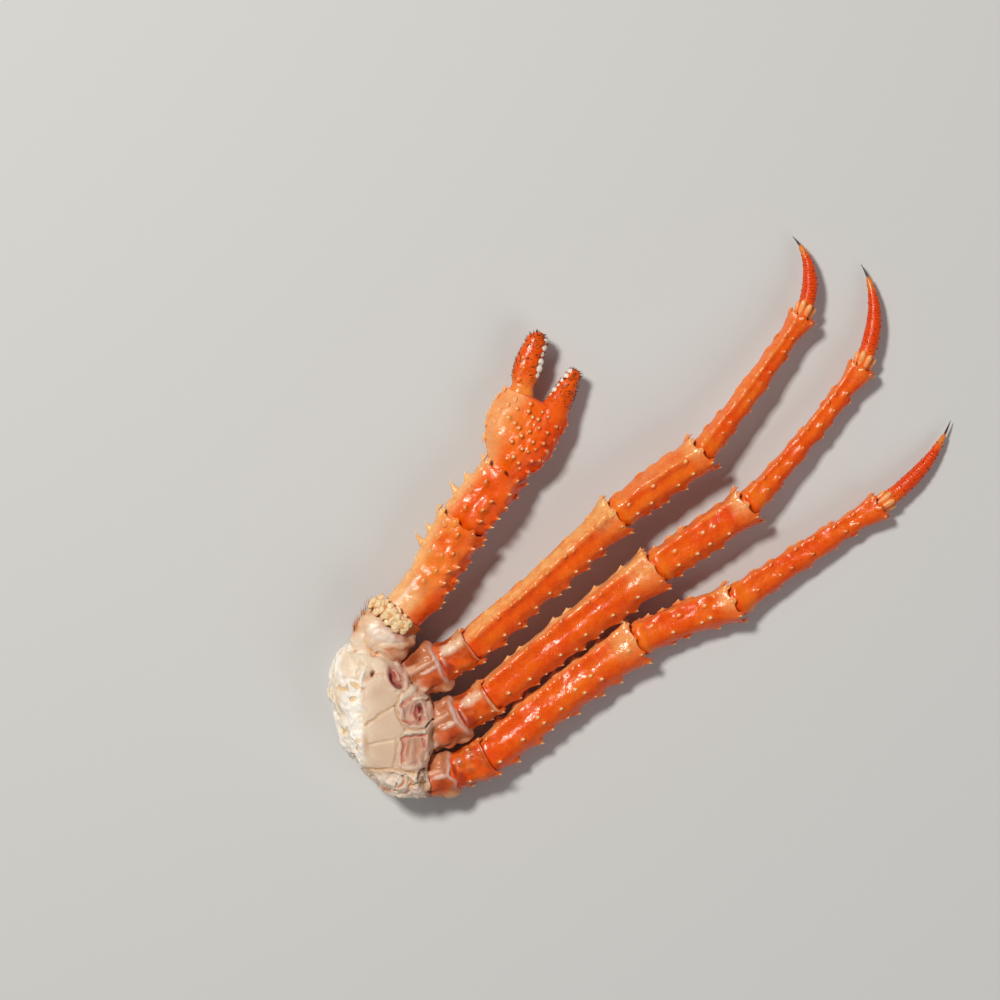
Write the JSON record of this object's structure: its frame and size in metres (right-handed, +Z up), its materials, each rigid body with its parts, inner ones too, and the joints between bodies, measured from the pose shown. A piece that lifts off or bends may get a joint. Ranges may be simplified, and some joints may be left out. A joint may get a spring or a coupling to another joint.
{
  "type": "king crab leg cluster",
  "caption": "Cooked king crab leg cluster: spiny orange walking legs and a claw arm joined at a cream shoulder section, lying flat.",
  "frame": {"origin": "middle of the cluster's box, at the table it lies on", "axes": "+X from the shoulder towards the leg tips, +Y towards the claw's side, +Z up from the table"},
  "size_m": [0.3753, 0.3383, 0.0416],
  "materials": {
    "leg_shell": "semi-gloss orange-red cooked shell, finely pitted",
    "talon_shell": "semi-gloss deep red-orange shell with a dark horny tip",
    "claw_shell": "semi-gloss peach-orange cooked shell",
    "coxa_shell": "moist pale pink and cream shell with orange patches",
    "shoulder_meat": "moist cream plates over pale meat"
  },
  "bodies": {
    "root": {"leg_1_coxa": "coxa_shell", "leg_1_basis": "leg_shell", "leg_1_merus": "leg_shell", "leg_1_carpus": "leg_shell", "leg_1_propodus": "leg_shell", "leg_1_dactyl": "talon_shell", "leg_2_coxa": "coxa_shell", "leg_2_basis": "leg_shell", "leg_2_merus": "leg_shell", "leg_2_carpus": "leg_shell", "leg_2_propodus": "leg_shell", "leg_2_dactyl": "talon_shell", "leg_3_coxa": "coxa_shell", "leg_3_basis": "leg_shell", "leg_3_merus": "leg_shell", "leg_3_carpus": "leg_shell", "leg_3_propodus": "leg_shell", "leg_3_dactyl": "talon_shell", "claw_coxa": "coxa_shell", "claw_ischium": "coxa_shell", "claw_merus": "claw_shell", "claw_carpus": "claw_shell", "claw_palm": "claw_shell", "claw_finger": "claw_shell", "shoulder": "shoulder_meat"}
  },
  "joints": []
}
